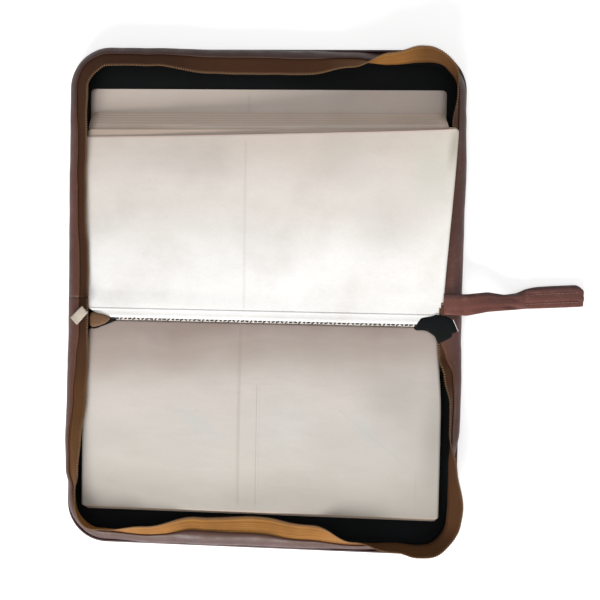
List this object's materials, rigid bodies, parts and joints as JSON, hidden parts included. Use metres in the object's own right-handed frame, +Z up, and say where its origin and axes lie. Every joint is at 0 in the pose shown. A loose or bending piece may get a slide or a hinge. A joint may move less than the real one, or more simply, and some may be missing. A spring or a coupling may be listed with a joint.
{
  "type": "cd storage case",
  "caption": "Zip-round wallet for discs, lying open: padded covers on a folding spine, sewn pocket leaves, wavy zip walls and a wrist strap.",
  "frame": {"origin": "on the underside of the spine, in its middle", "axes": "+X along the spine towards the wrist strap, +Y across the spine towards the front cover's far edge, +Z up out of the open case"},
  "size_m": [0.3825, 0.368, 0.025],
  "materials": {
    "leatherette": "grained leatherette, semi-matte",
    "stiffener": "plain board",
    "lining": "black woven lining",
    "leaf": "translucent film on non-woven",
    "zip_tape": "woven tape",
    "zip_teeth": "moulded",
    "thread": "thread",
    "slider": "antique",
    "pull_tab": "woven ribbon"
  },
  "bodies": {
    "spine": {"spine_skin": "leatherette", "spine_board": "stiffener", "spine_lining": "lining", "binding_ridge": "lining", "binding_stitches": "thread", "left_spine_wall": "leatherette", "left_zip_end": "zip_tape", "right_spine_wall": "leatherette", "right_zip_end": "zip_tape", "strap_patch": "leatherette", "zip_slider": "slider"},
    "front_cover": {"front_cover_skin": "leatherette", "front_cover_board": "stiffener", "front_cover_lining": "lining", "front_cover_pocket": "leaf", "front_edging": "leatherette", "front_wall": "leatherette", "front_zip_tape": "zip_tape", "front_zip_teeth": "zip_teeth"},
    "back_cover": {"back_cover_skin": "leatherette", "back_cover_board": "stiffener", "back_cover_lining": "lining", "back_cover_pocket": "leaf", "back_edging": "leatherette", "back_wall": "leatherette", "back_zip_tape": "zip_tape", "back_zip_teeth": "zip_teeth"},
    "upper_leaf_1": {"upper_leaf_1": "leaf"},
    "upper_leaf_2": {"upper_leaf_2": "leaf"},
    "upper_leaf_3": {"upper_leaf_3": "leaf"},
    "upper_leaf_4": {"upper_leaf_4": "leaf"},
    "upper_leaf_5": {"upper_leaf_5": "leaf"},
    "upper_leaf_6": {"upper_leaf_6": "leaf"},
    "top_leaf_margin": {"top_leaf_margin": "leaf", "upper_leaf_7": "leaf"},
    "lower_leaf_1": {"lower_leaf_1": "leaf"},
    "lower_leaf_2": {"lower_leaf_2": "leaf"},
    "lower_leaf_3": {"lower_leaf_3": "leaf"},
    "lower_leaf_4": {"lower_leaf_4": "leaf"},
    "lower_leaf_5": {"lower_leaf_5": "leaf"},
    "lower_leaf_6": {"lower_leaf_6": "leaf"},
    "top_leaf": {"top_leaf": "leaf"},
    "strap": {"wrist_strap": "leatherette"},
    "pull_tab": {"zip_pull_tab": "pull_tab"}
  },
  "joints": [
    {"name": "front_fold", "type": "hinge", "parent": "spine", "child": "front_cover", "pos_m": [0, 0.024, 0.0012], "axis": [-1, 0, 0], "range_deg": [-90, 0]},
    {"name": "back_fold", "type": "hinge", "parent": "spine", "child": "back_cover", "pos_m": [0, -0.024, 0.0012], "axis": [1, 0, 0], "range_deg": [-90, 0]},
    {"name": "upper_leaf_1_hinge", "type": "hinge", "parent": "spine", "child": "upper_leaf_1", "pos_m": [0, 0, 0.005], "axis": [-1, 0, 0], "range_deg": [-83.48, 0]},
    {"name": "upper_leaf_2_hinge", "type": "hinge", "parent": "spine", "child": "upper_leaf_2", "pos_m": [0, -0.002, 0.006], "axis": [-1, 0, 0], "range_deg": [-82.76, 0]},
    {"name": "upper_leaf_3_hinge", "type": "hinge", "parent": "spine", "child": "upper_leaf_3", "pos_m": [0, -0.004, 0.007], "axis": [-1, 0, 0], "range_deg": [-81.88, 0]},
    {"name": "upper_leaf_4_hinge", "type": "hinge", "parent": "spine", "child": "upper_leaf_4", "pos_m": [0, -0.006, 0.008], "axis": [-1, 0, 0], "range_deg": [-84.4, 0]},
    {"name": "upper_leaf_5_hinge", "type": "hinge", "parent": "spine", "child": "upper_leaf_5", "pos_m": [0, -0.008, 0.009], "axis": [-1, 0, 0], "range_deg": [-83.33, 0]},
    {"name": "upper_leaf_6_hinge", "type": "hinge", "parent": "spine", "child": "upper_leaf_6", "pos_m": [0, -0.01, 0.01], "axis": [-1, 0, 0], "range_deg": [-82.21, 0]},
    {"name": "top_leaf_margin_hinge", "type": "hinge", "parent": "spine", "child": "top_leaf_margin", "pos_m": [0, -0.014, 0.012], "axis": [-1, 0, 0], "range_deg": [-80.14, 0]},
    {"name": "lower_leaf_1_hinge", "type": "hinge", "parent": "spine", "child": "lower_leaf_1", "pos_m": [0, -0.0199, 0.00485], "axis": [1, 0, 0], "range_deg": [-90, 0]},
    {"name": "lower_leaf_2_hinge", "type": "hinge", "parent": "spine", "child": "lower_leaf_2", "pos_m": [0, -0.0191, 0.006], "axis": [1, 0, 0], "range_deg": [-89.85, 0]},
    {"name": "lower_leaf_3_hinge", "type": "hinge", "parent": "spine", "child": "lower_leaf_3", "pos_m": [0, -0.0183, 0.00715], "axis": [1, 0, 0], "range_deg": [-89.7, 0]},
    {"name": "lower_leaf_4_hinge", "type": "hinge", "parent": "spine", "child": "lower_leaf_4", "pos_m": [0, -0.0175, 0.0083], "axis": [1, 0, 0], "range_deg": [-89.55, 0]},
    {"name": "lower_leaf_5_hinge", "type": "hinge", "parent": "spine", "child": "lower_leaf_5", "pos_m": [0, -0.0167, 0.00945], "axis": [1, 0, 0], "range_deg": [-89.4, 0]},
    {"name": "lower_leaf_6_hinge", "type": "hinge", "parent": "spine", "child": "lower_leaf_6", "pos_m": [0, -0.0159, 0.0106], "axis": [1, 0, 0], "range_deg": [-89.25, 0]},
    {"name": "top_leaf_turn", "type": "hinge", "parent": "top_leaf_margin", "child": "top_leaf", "pos_m": [0, -0.0066, 0.01325], "axis": [1, 0, 0], "range_deg": [0, 165]},
    {"name": "strap_swing", "type": "hinge", "parent": "spine", "child": "strap", "pos_m": [0.1489, 0, 0.0134], "axis": [0, -1, 0], "range_deg": [0, 120]},
    {"name": "pull_tab_swing", "type": "hinge", "parent": "spine", "child": "pull_tab", "pos_m": [-0.13426, -0.0015, 0.02143], "axis": [-0.6691, 0.7431, 0], "range_deg": [0, 140]}
  ],
  "couplings": [
    {"joint": "upper_leaf_1_hinge", "follows": "front_fold", "ratio": 0.92756},
    {"joint": "upper_leaf_2_hinge", "follows": "front_fold", "ratio": 0.91956},
    {"joint": "upper_leaf_3_hinge", "follows": "front_fold", "ratio": 0.90978},
    {"joint": "upper_leaf_4_hinge", "follows": "front_fold", "ratio": 0.93778},
    {"joint": "upper_leaf_5_hinge", "follows": "front_fold", "ratio": 0.92589},
    {"joint": "upper_leaf_6_hinge", "follows": "front_fold", "ratio": 0.91344},
    {"joint": "top_leaf_margin_hinge", "follows": "front_fold", "ratio": 0.89044},
    {"joint": "lower_leaf_1_hinge", "follows": "back_fold", "ratio": 1},
    {"joint": "lower_leaf_2_hinge", "follows": "back_fold", "ratio": 0.99833},
    {"joint": "lower_leaf_3_hinge", "follows": "back_fold", "ratio": 0.99667},
    {"joint": "lower_leaf_4_hinge", "follows": "back_fold", "ratio": 0.995},
    {"joint": "lower_leaf_5_hinge", "follows": "back_fold", "ratio": 0.99333},
    {"joint": "lower_leaf_6_hinge", "follows": "back_fold", "ratio": 0.99167}
  ]
}
